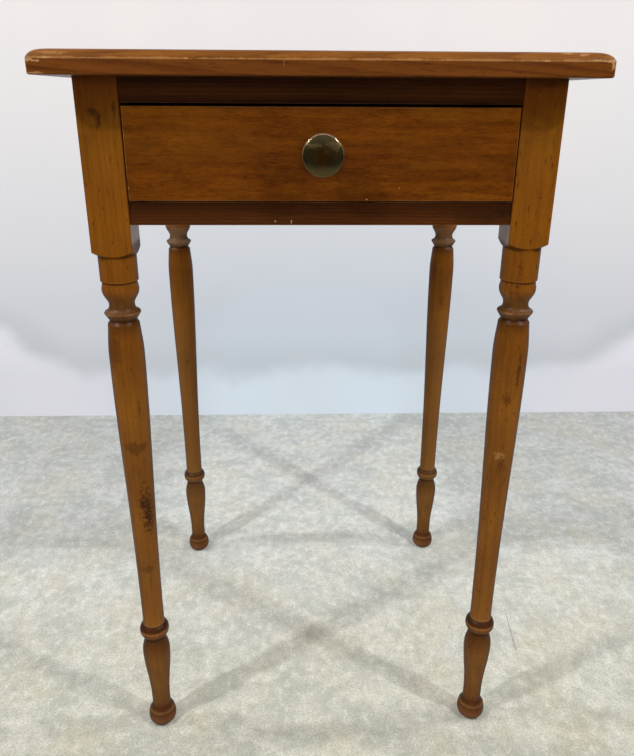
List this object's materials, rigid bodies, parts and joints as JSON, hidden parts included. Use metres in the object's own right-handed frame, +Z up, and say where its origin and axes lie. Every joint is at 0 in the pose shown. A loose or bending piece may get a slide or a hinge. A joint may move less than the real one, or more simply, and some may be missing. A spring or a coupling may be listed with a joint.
{
  "type": "tavern table",
  "caption": "Small wooden table with a square round-edged top, turned legs with square heads and a drawer with a round brass knob.",
  "frame": {"origin": "on the floor, under the middle of the tabletop", "axes": "+Z up, +X to the right seen from the drawer side, +Y from the drawer side to the back"},
  "size_m": [0.458, 0.4346, 0.724],
  "materials": {
    "top_wood": "amber varnished softwood, rubbed glossy",
    "leg_wood": "amber varnished turned wood, glossy",
    "rail_wood": "dark stained and varnished wood",
    "drawer_wood": "brown stained and varnished wood",
    "inner_wood": "bare planed wood",
    "brass": "aged brass, dull",
    "steel": "plain steel, dull"
  },
  "bodies": {
    "table": {"top_board_front": "top_wood", "top_board_middle": "top_wood", "top_board_back": "top_wood", "leg_front_left": "leg_wood", "leg_front_right": "leg_wood", "leg_back_left": "leg_wood", "leg_back_right": "leg_wood", "rail_upper": "rail_wood", "rail_lower": "rail_wood", "apron_left": "rail_wood", "apron_right": "rail_wood", "apron_back": "rail_wood", "runner_left": "inner_wood", "runner_right": "inner_wood", "kicker_left": "inner_wood", "kicker_right": "inner_wood", "guide_left": "inner_wood", "guide_right": "inner_wood", "drawer_stops": "inner_wood", "top_screws": "steel", "runner_nails": "steel", "kicker_nails": "steel"},
    "drawer": {"drawer_front": "drawer_wood", "drawer_back": "inner_wood", "drawer_side_left": "inner_wood", "drawer_side_right": "inner_wood", "drawer_bottom": "inner_wood", "drawer_bottom_nails": "steel", "brass_knob": "brass", "knob_washer": "brass", "knob_screw": "steel"}
  },
  "joints": [
    {"name": "drawer_slide", "type": "slide", "parent": "table", "child": "drawer", "axis": [0, -1, 0], "range_m": [0, 0.26]}
  ]
}
